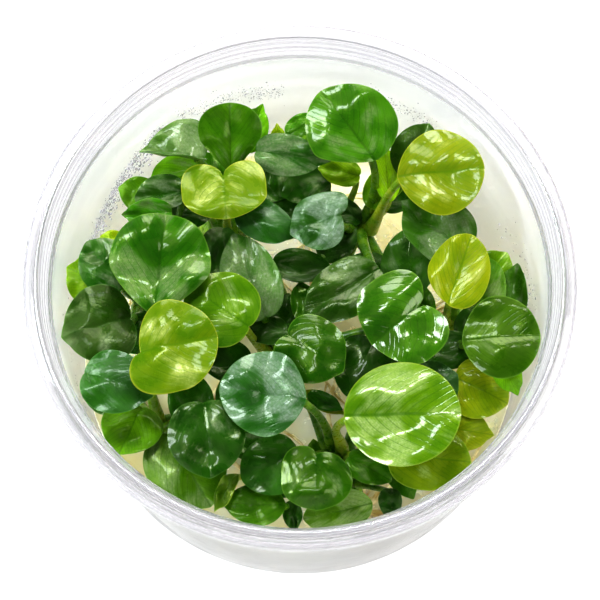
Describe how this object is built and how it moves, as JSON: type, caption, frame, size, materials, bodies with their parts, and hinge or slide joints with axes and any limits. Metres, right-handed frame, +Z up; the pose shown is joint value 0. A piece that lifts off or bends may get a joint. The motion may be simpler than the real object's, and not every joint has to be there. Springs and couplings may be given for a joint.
{
  "type": "gold coin anubias",
  "caption": "Small aquarium plant with round glossy green and yellow-green leaves on creeping stems, growing on nutrient gel in a clear open tissue-culture cup",
  "frame": {"origin": "middle of the cup's underside", "axes": "+Z up out of the mouth, -Y towards the side the picture is taken from, +X to its right"},
  "size_m": [0.105, 0.105, 0.06],
  "materials": {
    "cup": "clear, polished",
    "gel": "cloudy, wet",
    "rhizome": "satin",
    "root": "satin, slightly clear",
    "leaf_gold": "glossy, wet",
    "leaf_lime": "glossy, wet",
    "leaf_green": "glossy, wet",
    "leaf_dark": "glossy, wet",
    "leaf_teal": "glossy, wet"
  },
  "bodies": {
    "root": {"cup": "cup", "gel": "gel", "rhizome_a": "rhizome", "rhizome_b": "rhizome", "rhizome_c": "rhizome", "rhizome_d": "rhizome", "rhizome_e": "rhizome", "rhizome_f": "rhizome", "rhizome_g": "rhizome", "rhizome_h": "rhizome", "root_1": "root", "root_2": "root", "leaf_01": "leaf_green", "leaf_02": "leaf_gold", "leaf_03": "leaf_dark", "leaf_04": "leaf_dark", "leaf_05": "leaf_dark", "leaf_06": "leaf_gold", "leaf_07": "leaf_green", "leaf_08": "leaf_dark", "leaf_09": "leaf_lime", "leaf_10": "leaf_green", "leaf_11": "leaf_green", "leaf_12": "leaf_lime", "leaf_13": "leaf_teal", "leaf_14": "leaf_gold", "leaf_15": "leaf_gold", "leaf_16": "leaf_green", "leaf_17": "leaf_lime", "leaf_18": "leaf_green", "leaf_19": "leaf_dark", "leaf_20": "leaf_dark", "leaf_21": "leaf_green", "leaf_22": "leaf_green", "leaf_23": "leaf_teal", "leaf_24": "leaf_gold", "leaf_25": "leaf_green", "leaf_26": "leaf_dark", "leaf_27": "leaf_lime", "leaf_28": "leaf_dark", "leaf_29": "leaf_lime", "leaf_30": "leaf_dark", "leaf_31": "leaf_dark", "leaf_32": "leaf_green", "leaf_33": "leaf_teal", "leaf_34": "leaf_dark", "leaf_35": "leaf_gold", "leaf_36": "leaf_green", "leaf_37": "leaf_dark", "leaf_38": "leaf_green", "leaf_39": "leaf_dark", "leaf_40": "leaf_teal", "leaf_41": "leaf_teal", "leaf_42": "leaf_green", "leaf_43": "leaf_dark", "leaf_44": "leaf_green", "leaf_45": "leaf_green", "leaf_46": "leaf_green", "leaf_47": "leaf_lime", "leaf_48": "leaf_green"}
  },
  "joints": []
}
